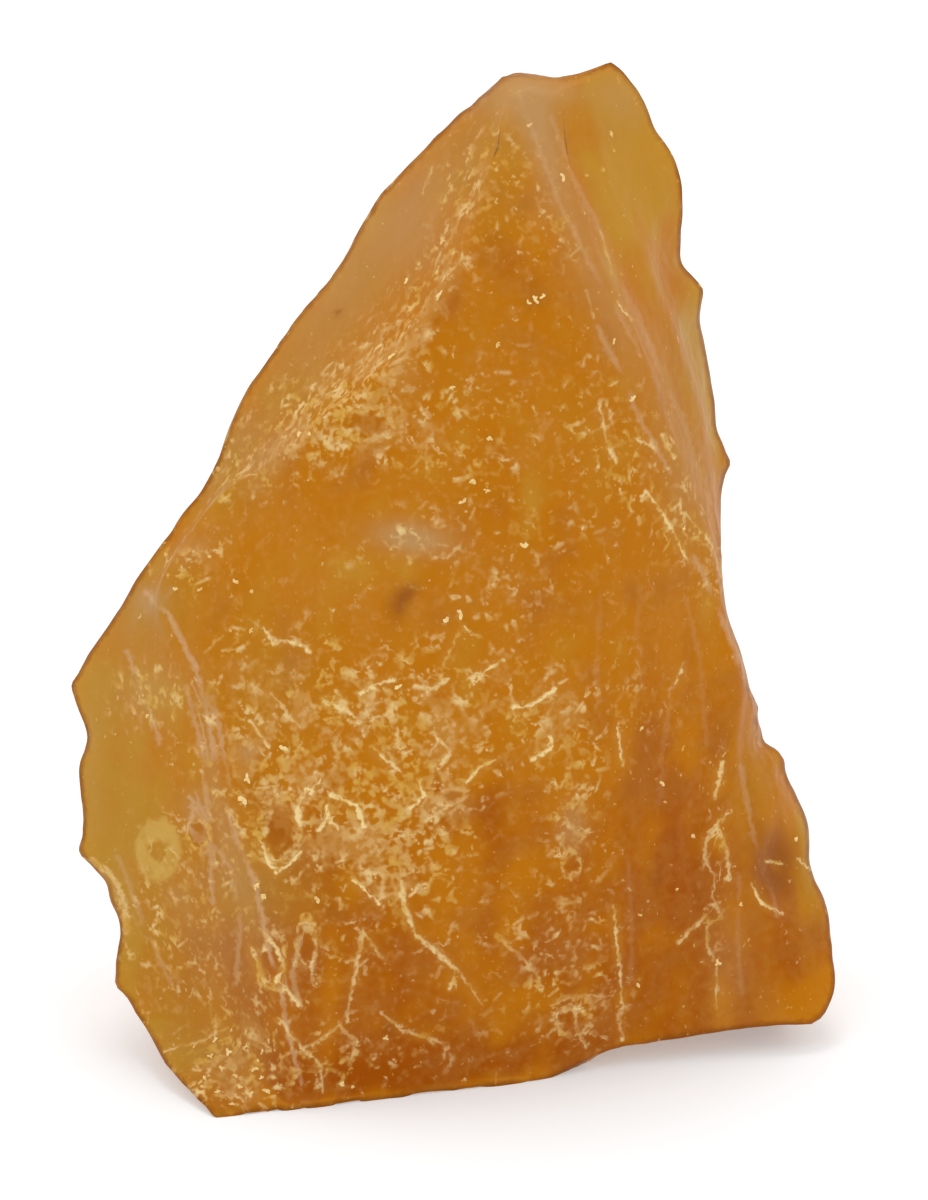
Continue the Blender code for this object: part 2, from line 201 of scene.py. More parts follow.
PINK_SHEEN_LINES = [  # painted sheen, as the strokes: soft pinkish lines where the ridges and the band right of the apex catch the light
    (0.7, 7, (148, 594), (169, 615), (195, 669), (209, 724), (213, 760), (235, 836), (256, 887), (264, 924)),
    (0.8, 5, (264, 924), (268, 950), (280, 990), (290, 1040), (300, 1080)), (0.6, 4, (170, 590), (160, 605)),
    (0.6, 5, (128, 655), (146, 700), (158, 740)), (0.6, 5, (213, 700), (222, 745), (230, 790)),
    (0.6, 5, (186, 690), (203, 760), (207, 820), (213, 900)), (0.5, 5, (205, 820), (210, 842), (226, 862)),
    (0.7, 5, (192, 800), (204, 812), (206, 832), (196, 840), (190, 825), (194, 808)),
    (0.35, 6, (518, 92), (540, 150), (560, 205), (588, 262), (612, 300), (640, 352)),
    (0.3, 6, (553, 120), (572, 170), (596, 225), (630, 300), (662, 372), (690, 440), (708, 500)),
    (0.5, 5, (600, 330), (625, 380), (640, 420), (668, 470)),
    (0.6, 5, (696, 560), (722, 620), (745, 690), (762, 740)), (0.15, 5, (686, 600), (700, 660), (706, 740)),
    (0.12, 4, (672, 690), (664, 740), (660, 800)), (0.35, 5, (742, 770), (752, 830), (770, 880), (776, 912)),
    (0.18, 4, (740, 880), (738, 940), (742, 990)), (0.5, 5, (300, 940), (292, 975), (298, 1000)),
    (0.45, 5, (232, 870), (240, 920), (236, 980)), (0.3, 5, (118, 860), (140, 920), (170, 980)),
    (0.1, 5, (600, 600), (596, 660), (600, 700)), (0.1, 5, (640, 590), (636, 640), (644, 690)),
    (0.12, 4, (628, 860), (632, 930), (630, 990)),
]
DOTS = [  # across, down, radius, brightness
    (447, 621, 5, 1.0), (461, 614, 6, 1.0), (466, 628, 4, 0.7), (399, 687, 5, 0.9), (243, 799, 7, 1.0),
    (247, 778, 6, 0.9), (283, 748, 6, 0.9), (250, 630, 4, 0.6), (255, 886, 5, 0.8), (265, 895, 5, 0.8),
    (318, 899, 5, 0.7), (340, 1084, 5, 1.0), (386, 1038, 4, 1.0), (352, 1086, 4, 0.9), (663, 783, 5, 1.0),
    (665, 801, 3, 0.5), (641, 728, 4, 0.7), (639, 985, 4, 1.0), (694, 835, 5, 0.8), (678, 889, 4, 0.7),
    (535, 300, 5, 1.0), (543, 297, 4, 1.0), (528, 303, 4, 0.9), (633, 400, 5, 1.0), (614, 341, 4, 0.9),
    (685, 529, 4, 0.9), (524, 547, 6, 0.9), (490, 437, 5, 0.8), (452, 387, 4, 0.8), (497, 344, 4, 0.7),
    (473, 480, 5, 0.8), (463, 502, 5, 0.8), (487, 490, 4, 0.7), (298, 435, 6, 0.9), (310, 434, 5, 0.9),
    (392, 355, 6, 0.9), (439, 294, 7, 0.8), (407, 281, 5, 0.9), (564, 177, 5, 0.8), (612, 133, 5, 0.7),
    (530, 125, 4, 0.7), (718, 963, 5, 1.0), (797, 838, 5, 0.9), (740, 905, 4, 0.8), (640, 915, 4, 0.5),
    (252, 590, 4, 0.6), (200, 590, 4, 0.6), (235, 582, 5, 0.7), (175, 590, 4, 0.8), (147, 715, 4, 0.8),
    (215, 1040, 4, 1.0), (228, 1052, 5, 1.0), (246, 1046, 4, 0.9), (222, 1068, 4, 1.0), (240, 1086, 4, 1.0),
    (210, 1056, 4, 0.9), (250, 1094, 4, 1.0), (231, 1030, 3, 0.8), (262, 1052, 4, 1.0), (246, 1032, 3, 0.8),
    (218, 1092, 4, 1.0), (204, 1078, 4, 0.9), (232, 1104, 4, 0.9), (194, 1046, 3, 0.8), (268, 1040, 3, 0.8),
    (255, 1068, 5, 1.0), (257, 1060, 4, 0.9), (262, 1078, 4, 0.9), (236, 1075, 4, 0.8), (266, 1090, 5, 0.9),
]


def zone_sum(pixels, zones):
    """What the soft elliptical zones add up to at each pixel."""
    total = np.zeros(len(pixels))
    for across, down, wide, high, turn, amount in zones:
        c, s = math.cos(math.radians(turn)), math.sin(math.radians(turn))
        dx, dy = pixels[:, 0] - across, pixels[:, 1] - down
        u, v = (c * dx + s * dy) / wide, (c * dy - s * dx) / high
        total += amount * np.exp(-(u**2 + v**2))
    return total


# ---- shape -----------------------------------------------------------------
def fine_mesh(node):
    """A dense mesh over the CAD solid, smooth but for its ridges."""
    shell = bmesh.new()
    shell.from_mesh(node.data)
    bmesh.ops.remove_doubles(shell, verts=shell.verts, dist=MERGE)
    bmesh.ops.join_triangles(
        shell, faces=shell.faces, angle_face_threshold=FLAT, angle_shape_threshold=math.radians(180)
    )
    creases = shell.edges.layers.float.new("crease_edge")
    for edge in shell.edges:
        angle = math.degrees(edge.calc_face_angle(0))
        edge[creases] = min(CREASE_MOST, max(0.0, (angle - CREASE_FROM) / CREASE_SPAN))
    mesh = bpy.data.meshes.new("rough")
    shell.to_mesh(mesh)
    shell.free()
    rough = bpy.data.objects.new("rough", mesh)
    bpy.context.scene.collection.objects.link(rough)
    smooth = rough.modifiers.new("smooth", "SUBSURF")
    smooth.levels = smooth.render_levels = LEVELS
    bpy.context.view_layer.update()
    shown = rough.evaluated_get(bpy.context.evaluated_depsgraph_get())
    fine = bpy.data.meshes.new_from_object(shown)
    bpy.data.objects.remove(rough)
    return fine


def read_points(mesh):
    points = np.empty(len(mesh.vertices) * 3)
    mesh.vertices.foreach_get("co", points)
    return points.reshape(-1, 3)


def write_points(mesh, points):
    mesh.vertices.foreach_set("co", points.ravel())
    mesh.update()


def read_normals(mesh):
    normals = np.empty(len(mesh.vertices) * 3)
    mesh.vertex_normals.foreach_get("vector", normals)
    return normals.reshape(-1, 3)


def noise_at(points, size, seed):
    """Perlin noise of that feature size in metres, one value per point."""
    start = Vector((seed * 7.31, seed * 3.17, seed * 5.93))
    return np.array([noise.noise(Vector(point) / size + start) for point in points])


def tree_of(mesh):
    mesh.calc_loop_triangles()
    corners = [tuple(triangle.vertices) for triangle in mesh.loop_triangles]
    return BVHTree.FromPolygons([vertex.co for vertex in mesh.vertices], corners)


def thickness(tree, points, normals):
    """How much resin lies under each point, in metres: the mean of a few rays through the lump."""
    total = np.zeros(len(points))
    for i, (point, normal) in enumerate(zip(points, normals)):
        inward = -Vector(normal)
        start = Vector(point) + inward * SKIN
        for slant in SLANTS:
            hit = tree.ray_cast(start, (inward + slant).normalized())
            total[i] += hit[3] if hit[0] is not None else 0.0
    return total / len(SLANTS)


def stroke_field(pixels, strokes):
    """For each pixel: signed distance to the nearest stroke's line, plain distance, its width and tone."""
    side, near = np.full(len(pixels), FAR), np.full(len(pixels), FAR)
    width, tone = np.full(len(pixels), 4.0), np.zeros(len(pixels))
    for strength, wide, *corners in strokes:
        for start, end in zip(corners, corners[1:]):
            a, b = np.array(start, float), np.array(end, float)
            low, high = np.minimum(a, b) - FAR, np.maximum(a, b) + FAR
            close = np.nonzero(np.all((pixels > low) & (pixels < high), axis=1))[0]
            span = np.linalg.norm(b - a)
            ahead = (b - a) / span
            off = pixels[close] - a
            along = off @ ahead
            across = off[:, 0] * ahead[1] - off[:, 1] * ahead[0]
            reach = np.hypot(across, along - np.clip(along, 0, span))
            better = reach < near[close] - 1e-6
            better |= (reach < near[close] + 1e-6) & (np.abs(across) > np.abs(side[close]))
            chosen = close[better]
            side[chosen], near[chosen] = across[better], reach[better]
            width[chosen], tone[chosen] = wide, strength
    return side, near, width, tone


def random_strokes(seed, count):
    """Crooked strokes at random places of a back view as large as the photograph."""
    draw = random.Random(seed)
    strokes = []
    for _ in range(count):
        x, y = draw.uniform(80, 840), draw.uniform(60, 1110)
        heading = draw.uniform(0, math.tau)
        corners = [(x, y)]
        for _ in range(draw.choice((1, 2, 2, 3, 5))):
            heading += draw.gauss(0, 0.6)
            step = draw.uniform(8, 26)
            x, y = x + step * math.cos(heading), y + step * math.sin(heading)
            corners.append((x, y))
        strokes.append((draw.uniform(0.2, 0.8), draw.choice((4, 5, 5)), *corners))
    return strokes


DENTS = [  # across, down, half width, half height, turn in degrees, depth in millimetres
    (278, 830, 15, 24, 0, 0.14), (776, 864, 22, 28, 20, 0.25), (440, 796, 18, 9, -20, 0.12),
    (272, 958, 13, 28, 10, 0.18), (308, 944, 10, 24, 0, 0.12), (505, 832, 40, 60, 0, 0.15),
    (500, 150, 12, 20, 0, 0.25), (470, 190, 9, 12, 0, 0.2), (404, 600, 12, 16, 0, 0.1),
    (418, 300, 12, 14, 0, 0.25), (355, 395, 14, 10, 0, 0.2), (250, 470, 16, 10, 0, 0.2),
    (600, 350, 14, 30, -15, 0.2), (620, 410, 12, 26, 0, 0.2), (570, 150, 10, 50, -14, 0.2),
    (700, 870, 14, 60, 0, 0.2), (735, 940, 14, 40, 0, 0.15), (240, 1060, 26, 20, 0, 0.2),
    (200, 720, 8, 90, -6, 0.15), (238, 760, 8, 70, -10, 0.12), (130, 900, 12, 50, -14, 0.2),
]


EDGES = [  # as the dents, but in pixels outward: where the outline has small nicks and swells
    (388, 188, 40, 40, 0, 4), (355, 240, 26, 30, 0, 3), (240, 400, 40, 50, 0, 4), (300, 300, 50, 50, 0, 1.5),
    (460, 120, 50, 50, 0, 2), (530, 75, 30, 12, 0, 2), (620, 70, 20, 12, 0, 3), (682, 185, 14, 30, 0, -3.5),
    (685, 262, 10, 12, 0, -4), (703, 290, 7, 10, 0, 5), (705, 345, 14, 40, 0, 2), (720, 430, 10, 20, 0, -4),
    (727, 463, 8, 8, 0, 4), (718, 540, 16, 36, 0, 5), (742, 670, 20, 50, 0, 4), (752, 705, 12, 18, 0, 4),
    (766, 742, 9, 10, 0, -5), (786, 775, 10, 12, 0, -4), (806, 838, 14, 28, 0, 4), (824, 920, 16, 50, 0, 3.5),
    (818, 1012, 14, 14, 0, 3), (81, 738, 10, 22, 0, -4), (79, 785, 10, 18, 0, -3), (84, 850, 10, 10, 0, 4),
    (103, 885, 12, 14, 0, -4), (118, 932, 10, 22, 0, -4), (120, 985, 8, 8, 0, 3), (75, 685, 8, 8, 0, 3),
    (178, 1075, 40, 40, 0, 5), (90, 655, 20, 20, 0, 2),
]
LOOPS = [  # pale outlines of pits and blisters: across, down, half width, half height, turn in degrees
    (279, 829, 20, 32, 0), (271, 960, 12, 29, 12), (307, 942, 10, 24, 0), (571, 864, 9, 14, 0),
    (198, 834, 11, 14, 0), (452, 797, 15, 8, -20), (367, 424, 26, 16, 0), (573, 1022, 16, 14, 0),
]


def loop_field(pixels, loops):
    """Distance from the centre of the nearest oval, as a share of its radius."""
    nearest = np.full(len(pixels), 4.0)
    for across, down, wide, high, turn in loops:
        c, s = math.cos(math.radians(turn)), math.sin(math.radians(turn))
        dx, dy = pixels[:, 0] - across, pixels[:, 1] - down
        nearest = np.minimum(nearest, np.hypot((c * dx + s * dy) / wide, (c * dy - s * dx) / high))
    return nearest


def outline_distance(mesh, points, pixels, tree):
    """Each point's distance in pixels from the lump's outline, and how sharp the edge is there: where the
    painted dark line of shade goes.
    """
    shell = bmesh.new()
    shell.from_mesh(mesh)
    shell.faces.ensure_lookup_table()
    facing = [face.normal.dot(EYE - face.verts[0].co) > 0 for face in shell.faces]
    places, sharps = [], []
    for edge in shell.edges:
        if len(edge.link_faces) != 2:
            continue
        one, two = edge.link_faces
        if facing[one.index] == facing[two.index]:
            continue
        inner = one if facing[one.index] else two
        a, b = (pixels[vertex.index] for vertex in edge.verts)
        centre = to_pixels(np.array([inner.calc_center_median()]))[0]
        outward = (a + b) / 2 - centre
        outward -= (b - a) * (outward @ (b - a)) / max((b - a) @ (b - a), 1e-9)
        outward /= max(np.hypot(*outward), 1e-9)
        if tree.ray_cast(EYE, ray_of((a + b) / 2 + outward * OUTSIDE))[0] is not None:
            continue
        for share in (0.0, 0.2, 0.4, 0.6, 0.8):
            places.append(a + (b - a) * share)
            sharps.append(math.degrees(edge.calc_face_angle(0)))
    shell.free()
    near = KDTree(len(places))
    for index, place in enumerate(places):
        near.insert((place[0], place[1], 0), index)
    near.balance()
    distance, sharp = np.empty(len(points)), np.empty(len(points))
    for index, pixel in enumerate(pixels):
        _, chosen, distance[index] = near.find((pixel[0], pixel[1], 0))
        sharp[index] = sharps[chosen]
    return np.minimum(distance, FAR), np.clip((sharp - SHARP_FROM) / SHARP_SPAN, SHARP_LEAST, 1)


def relief(points, pixels, front, frost):
    """How far each point moves out, in metres: waves, streaks, frosting, dents and the outline's nicks."""
    tall = points * np.array([1, 1, 0.18])
    rise = 0.10 * noise_at(points, 4.0 * MM, 11) + 0.05 * noise_at(points, 1.5 * MM, 12)
    rise += 0.06 * noise_at(tall, 1.1 * MM, 13)
    rise += (0.02 + 0.10 * np.clip(frost, 0, 1.2)) * noise_at(points, 0.8 * MM, 14)
    depth = -front * zone_sum(pixels, DENTS)
    return (rise + depth) * MM + zone_sum(pixels, EDGES) * PIXEL


# ---- bruises ---------------------------------------------------------------
class Flakes:
    """Little low splinters and crumbs of pale, bruised resin that sit in the skin."""

    def __init__(self, tree, seed):
        self.tree = tree
        self.random = random.Random(seed)
        self.points, self.faces, self.tones = [], [], []

    def splinter(self, place, normal, along, length, width, tone):
        """One flake with a ragged outline, its rim sunk just under the skin."""
        draw = self.random
        side = normal.cross(along).normalized()
        along = side.cross(normal)
        first = len(self.points)
        rim = 8
        for k in range(rim):
            angle = math.tau * k / rim
            ragged = draw.uniform(0.65, 1.2)
            reach = along * math.cos(angle) * length / 2 + side * math.sin(angle) * width / 2
            self.points.append(place + reach * ragged - normal * 0.02 * MM)
        lift = min(width, length) * 0.16
        for share in (-0.22, 0.22):
            self.points.append(place + along * length * share + normal * lift * draw.uniform(0.7, 1.3))
        back, front = first + rim, first + rim + 1
        for k in range(rim):
            a, b = first + k, first + (k + 1) % rim
            top = front if k in (0, 1, 6, 7) else back
            self.faces.append((a, b, top))
        self.faces.append((first + 2, back, front))
        self.faces.append((first + 6, front, back))
        self.tones += [tone * draw.uniform(0.75, 1.0)] * (rim + 2)

    def cast(self, pixel):
        hit = self.tree.ray_cast(EYE, ray_of(pixel))
        return hit[0], hit[1]

    def dot(self, pixel, radius, tone):
        place, normal = self.cast(pixel)
        if place is None:
            return
        draw = self.random
        for _ in range(3):
            turn = Vector((draw.gauss(0, 1), draw.gauss(0, 1), draw.gauss(0, 1)))
            off = (turn - normal * turn.dot(normal)).normalized()
            spot = place + off * radius * 0.35 * PIXEL
            self.splinter(spot, normal, off, radius * 1.4 * PIXEL, radius * 0.9 * PIXEL, tone)

    def make(self, name):
        mesh = bpy.data.meshes.new(name)
        mesh.from_pydata([tuple(point) for point in self.points], [], self.faces)
        tones = mesh.attributes.new("tone", "FLOAT", "POINT")
        tones.data.foreach_set("value", self.tones)
        obj = bpy.data.objects.new(name, mesh)
        bpy.context.scene.collection.objects.link(obj)
        return obj


def crumbs(tree):
    """Bright crumbs of bruised resin, at their places on the front."""
    flakes = Flakes(tree, seed=5)
    for across, down, radius, tone in DOTS:
        flakes.dot((across, down), radius, tone)
    return flakes.make("bright_crumbs")


# ---- materials -------------------------------------------------------------
class Graph:
    """Short calls for wiring a material."""

    def __init__(self, name):
        self.material = bpy.data.materials.new(name)
        self.material.use_nodes = True
        tree = self.material.node_tree
        self.nodes, self.links = tree.nodes, tree.links
        self.shader = self.nodes["Principled BSDF"]

    def add(self, kind, settings=(), **values):
        node = self.nodes.new("ShaderNode" + kind)
        for key, value in dict(settings).items():
            setattr(node, key, value)
        for key, value in values.items():
            self.put(node.inputs[key.replace("_", " ")], value)
        return node

    def put(self, socket, value):
        if isinstance(value, bpy.types.NodeSocket):
            self.links.new(value, socket)
        else:
            socket.default_value = value

    def set(self, name, value):
        self.put(self.shader.inputs[name], value)

    def math(self, operation, a, b=0.0, c=0.0):
        node = self.add("Math", {"operation": operation})
        for socket, value in zip(node.inputs, (a, b, c)):
            self.put(socket, value)
        return node.outputs[0]

    def attribute(self, name):
        return self.add("Attribute", {"attribute_name": name}).outputs["Fac"]

    def three(self, name):
        """The three numbers that a vector attribute packs."""
        split = self.add("SeparateXYZ")
        self.put(split.inputs[0], self.add("Attribute", {"attribute_name": name}).outputs["Vector"])
        return split.outputs[:3]

    def ramp(self, value, low, high, to_low=0.0, to_high=1.0):
        node = self.add("MapRange", {"interpolation_type": "SMOOTHSTEP"})
        names = ("Value", "From Min", "From Max", "To Min", "To Max")
        for key, item in zip(names, (value, low, high, to_low, to_high)):
            self.put(node.inputs[key], item)
        return node.outputs[0]

    def mix(self, factor, a, b):
        node = self.add("Mix", {"data_type": "RGBA"})
        self.put(node.inputs[0], factor)
        self.put(node.inputs[6], a)
        self.put(node.inputs[7], b)
        return node.outputs[2]

    def noise(self, place, scale, detail, roughness=0.55):
        node = self.add("TexNoise", Scale=scale, Detail=detail, Roughness=roughness)
        self.put(node.inputs["Vector"], place)
        return node.outputs["Fac"]


DEEP_ORANGE = (0.348, 0.075, 0.0005, 1)
ORANGE = (0.498, 0.164, 0.0038, 1)
AMBER = (0.512, 0.244, 0.0244, 1)
PALE = (0.846, 0.630, 0.282, 1)
GOLD = (0.658, 0.385, 0.0752, 1)
ROSY = (0.649, 0.376, 0.1316, 1)
TAN = (0.550, 0.256, 0.0489, 1)
# whitish clouding and painted sheen
CLOUD_AND_SHEEN = (0.489, 0.277, 0.1128, 1)
# the pink of the painted sheen lines
SHEEN_PINK = (0.592, 0.348, 0.1692, 1)
# the colour of the painted shade
SHADE_BROWN = (0.395, 0.218, 0.0244, 1)
BROWN = (0.30, 0.088, 0.012, 1)
# the colour of the painted dark edge line
EDGE_SHADE_BROWN = (0.25, 0.07, 0.004, 1)
RING_YELLOW = (0.602, 0.376, 0.0846, 1)
CRUMB_WARM = (0.64, 0.35, 0.06, 1), (0.70, 0.43, 0.10, 1)
CRUMB_PALE = (0.78, 0.53, 0.17, 1), (0.86, 0.66, 0.29, 1)

REFRACTION = 1.54  # of copal
SCATTER = 0.45  # share of the light that scatters under the skin
SCATTER_DEPTH = 2.2 * MM
SEE_THROUGH = 0.08  # share of the light that passes straight through


def resin():
    """Scattering, slightly see-through resin. Its marks come from the mesh's fields and fine noises."""
    g = Graph("copal_resin")
    place = g.add("TexCoord").outputs["Object"]
    depth, haze_and_sheen, stain = g.three("body")
    frost, blotch, chips = g.three("skin")
    outline, rim, ring = g.three("edges")
    stroke_side, near, stroke_width = g.three("strokes")
    sheen_side, sheen_near, sheen_tone = g.three("sheen_lines")
    tone, loop, sharp = g.three("others")
    wobble = g.noise(place, 2600, 1)
    grain = g.noise(place, 1700, 1, 0.65)
    mottle = g.math("MULTIPLY_ADD", grain, 0.5, g.math("MULTIPLY", blotch, 0.5))

    # The resin itself: redder where it is deep, yellower where it is thin, with painted shade towards the
    # bottom and the lower right and a painted glow along the thin edges
    colour = g.mix(g.ramp(depth, 0.0, 1.1), ORANGE, DEEP_ORANGE)
    colour = g.mix(g.ramp(depth, 0.0, -1.1), colour, AMBER)
    # Painted shade: duller and browner where the shade zones lie
    colour = g.mix(g.attribute("painted_shade"), colour, SHADE_BROWN)

    # Frosting: short cracks, granules and crumbs
    shift = g.add("VectorMath", {"operation": "SCALE"}, Scale=wobble)
    shift.inputs[0].default_value = (0.0006, -0.0005, 0.0006)
    bent = g.add("VectorMath", {"operation": "ADD"})
    g.put(bent.inputs[0], place)
    g.put(bent.inputs[1], shift.outputs[0])
    bent = bent.outputs[0]
    shown = g.math("MULTIPLY_ADD", frost, 0.22, chips)

    def cracks(scale, reach, half, low, high):
        """Short straight cracks: little plates at random angles, cut by the skin."""
        cells = g.add("TexVoronoi", Scale=scale)
        g.put(cells.inputs["Vector"], bent)
        turn = g.add("VectorMath", {"operation": "SUBTRACT"})
        g.put(turn.inputs[0], cells.outputs["Color"])
        turn.inputs[1].default_value = (0.5, 0.5, 0.5)
        facing = g.add("VectorMath", {"operation": "NORMALIZE"})
        g.put(facing.inputs[0], turn.outputs[0])
        off = g.add("VectorMath", {"operation": "SUBTRACT"})
        g.put(off.inputs[0], bent)
        g.put(off.inputs[1], cells.outputs["Position"])
        across = g.add("VectorMath", {"operation": "DOT_PRODUCT"})
        g.put(across.inputs[0], off.outputs[0])
        g.put(across.inputs[1], facing.outputs[0])
        level = g.math("ABSOLUTE", across.outputs["Value"])
        line = g.ramp(level, g.math("MULTIPLY", g.math("ADD", grain, 0.5), half), 0.0)
        line = g.math("MULTIPLY", line, g.ramp(cells.outputs["Distance"], reach, reach * 0.7))
        return g.math("MULTIPLY", line, g.ramp(shown, low, high))

    short = cracks(780, 0.55, 0.17 * MM, 0.50, 0.68)
    granule = g.ramp(g.math("MULTIPLY_ADD", frost, 0.09, grain), 0.56, 0.72)
    patchy = g.math("MULTIPLY", g.ramp(wobble, 0.25, 0.6, 0.45, 1.0), g.ramp(frost, 0.02, 0.45))
    marks = g.math("MAXIMUM", short, g.math("MULTIPLY", granule, g.ramp(shown, 0.45, 0.75, 0.3, 0.9)))
    marks = g.math("MULTIPLY", marks, patchy)
    crumb = g.ramp(g.math("MULTIPLY_ADD", frost, 0.07, wobble), 0.68, 0.80)
    crumb = g.math("MULTIPLY", crumb, g.ramp(chips, 0.3, 0.6, 0.3, 0.8))

    # Long bruise lines and their pale halo
    bend = g.math("MULTIPLY_ADD", wobble, 7.0, -3.5)
    side = g.math("ABSOLUTE", g.math("ADD", stroke_side, bend))
    half = g.math("MULTIPLY", stroke_width, g.math("MULTIPLY_ADD", grain, 0.9, -0.07))
    line = g.ramp(side, g.math("ADD", half, 1.2), g.math("SUBTRACT", half, 1.6))
    line = g.math("MULTIPLY", g.math("MULTIPLY", line, tone), g.ramp(near, 7.5, 4.5))
    line = g.math("MULTIPLY", line, g.ramp(wobble, 0.3, 0.55, 0.6, 1.1))
    halo = g.math("MULTIPLY", g.math("MULTIPLY", g.ramp(near, 12.0, 2.0), tone), 0.35)

    # Painted sheen: soft pinkish lines along the ridges
    sheen_line = g.math("ABSOLUTE", g.math("ADD", sheen_side, bend))
    sheen_line = g.ramp(sheen_line, g.math("MULTIPLY_ADD", grain, 6.0, 1.5), 0.3)
    sheen_line = g.math("MULTIPLY", sheen_line, g.ramp(sheen_near, 8.0, 4.0))
    sheen_line = g.math("MULTIPLY", g.math("MULTIPLY", sheen_line, sheen_tone), g.ramp(blotch, 0.25, 0.5))

    # The pale ring, and the walls of the pits
    radius = g.math("ADD", ring, g.math("MULTIPLY_ADD", grain, 0.5, -0.25))
    band = g.math("MULTIPLY", g.ramp(radius, 1.1, 0.9), g.ramp(radius, 0.25, 0.42))

    reach = g.math("ADD", loop, g.math("MULTIPLY_ADD", grain, 1.0, -0.5))
    wall = g.math("ABSOLUTE", g.math("SUBTRACT", reach, 1.0))
    wall = g.math("MULTIPLY", g.ramp(wall, 0.26, 0.06), g.ramp(wobble, 0.3, 0.6, 0.0, 0.85))
    inside = g.ramp(reach, 0.9, 0.5)

    outside = g.math("MULTIPLY_ADD", inside, -0.85, 0.85)
    flecks = g.math("MAXIMUM", g.math("MULTIPLY", g.math("MAXIMUM", marks, crumb), outside), line)
    flecks = g.math("MAXIMUM", flecks, wall)
    veil = g.math("MULTIPLY", g.ramp(frost, 0.05, 1.1, 0.0, 0.75), g.ramp(mottle, 0.42, 0.58))
    veil = g.math("MAXIMUM", g.math("MAXIMUM", veil, halo), g.ramp(mottle, 0.35, 0.65, 0.0, 0.2))

    # All of them laid over each other
    colour = g.mix(veil, colour, TAN)
    # Whitish clouding, partly painted sheen on the facets that catch the light
    colour = g.mix(haze_and_sheen, colour, CLOUD_AND_SHEEN)
    colour = g.mix(g.math("MULTIPLY", inside, 0.3), colour, DEEP_ORANGE)
    colour = g.mix(g.math("MULTIPLY", band, g.ramp(mottle, 0.35, 0.6, 0.45, 0.75)), colour, RING_YELLOW)
    # painted sheen along the ridges
    colour = g.mix(sheen_line, colour, SHEEN_PINK)
    # Painted shade: a dark line where the resin is thin and along the outline the camera sees
    colour = g.mix(rim, colour, EDGE_SHADE_BROWN)
    edge = g.math("MULTIPLY", outline, g.math("ADD", grain, 0.5))
    edge = g.math("MULTIPLY", g.ramp(edge, 6.5, 0.5, 0.0, 0.85), g.ramp(blotch, 0.15, 0.5, 0.5, 1.0))
    colour = g.mix(g.math("MULTIPLY", edge, sharp), colour, EDGE_SHADE_BROWN)
    colour = g.mix(g.math("MULTIPLY", stain, g.ramp(mottle, 0.3, 0.6, 0.6, 1.0)), colour, BROWN)
    bright = g.ramp(g.math("MULTIPLY_ADD", line, 0.35, chips), 0.5, 0.85)
    tint = g.mix(g.ramp(blotch, 0.35, 0.65), GOLD, ROSY)
    colour = g.mix(flecks, colour, g.mix(bright, tint, PALE))
    g.set("Base Color", colour)

    smooth = g.math("MULTIPLY_ADD", blotch, 0.12, 0.3)
    g.set("Roughness", g.math("MULTIPLY_ADD", g.math("MAXIMUM", flecks, frost), 0.2, smooth))
    bump = g.add("Bump", Strength=0.3, Distance=0.2 * MM)
    g.put(bump.inputs["Height"], g.noise(place, 1300, 0))
    g.set("Normal", bump.outputs[0])
    g.set("IOR", REFRACTION)
    g.set("Specular IOR Level", 0.04)
    g.set("Specular Tint", (1.0, 0.7, 0.3, 1))
    g.shader.subsurface_method = "BURLEY"
    g.set("Subsurface Weight", SCATTER)
    g.set("Subsurface Radius", (1.0, 0.7, 0.25))
    g.set("Subsurface Scale", SCATTER_DEPTH)
    g.set("Transmission Weight", SEE_THROUGH)
    absorb = g.add("VolumeAbsorption", Color=(0.92, 0.70, 0.05, 1), Density=300.0)
    g.links.new(absorb.outputs[0], g.nodes["Material Output"].inputs["Volume"])
    return g.material


def crumb_resin():
    """Pale bruised resin for the raised crumbs."""
    g = Graph("copal_crumb")
    tone = g.attribute("tone")
    speck = g.noise(g.add("TexCoord").outputs["Object"], 4000, 1)
    warm = g.mix(g.ramp(speck, 0.3, 0.7), *CRUMB_WARM)
    pale = g.mix(g.ramp(speck, 0.3, 0.7), *CRUMB_PALE)
    g.set("Base Color", g.mix(g.ramp(tone, 0.3, 0.95), warm, pale))
    g.set("Roughness", 0.45)
    g.set("IOR", REFRACTION)
    return g.material


# ---- stage -----------------------------------------------------------------
def make_floor():
    """A plain white table top, 6 m across, that partly glows so that its shadows stay soft and pale."""
    mesh = bpy.data.meshes.new("floor")
    half = 3.0
    corners = [(-half, -half, 0), (half, -half, 0), (half, half, 0), (-half, half, 0)]
    mesh.from_pydata(corners, [], [(0, 1, 2, 3)])
    floor = bpy.data.objects.new("floor", mesh)
    bpy.context.scene.collection.objects.link(floor)
    g = Graph("floor_white")
    g.set("Base Color", (0.70, 0.71, 0.72, 1))
    g.set("Roughness", 0.9)
    g.set("Specular IOR Level", 0.0)
    g.set("Emission Color", (0.97, 0.99, 1.0, 1))
    g.set("Emission Strength", 0.30)
    mesh.materials.append(g.material)


def make_light(name, place, size, power):
    data = bpy.data.lights.new(name, "AREA")
    data.shape = "DISK"
    data.size = size
    data.energy = power
    light = bpy.data.objects.new(name, data)
    light.location = place
    light.rotation_euler = (TARGET - Vector(place)).to_track_quat("-Z", "Y").to_euler()
    bpy.context.scene.collection.objects.link(light)


def make_world():
    """White all round."""
    world = bpy.data.worlds.new("studio")
    world.use_nodes = True
    bpy.context.scene.world = world
    background = world.node_tree.nodes["Background"]
    background.inputs["Strength"].default_value = 1.04
    background.inputs["Color"].default_value = (1, 1, 1, 1)


make_camera()
make_world()
make_floor()
make_light("softbox_behind", (-0.035, 0.16, 0.81), 0.3, 1.2)
bpy.context.scene.view_settings.view_transform = "Standard"

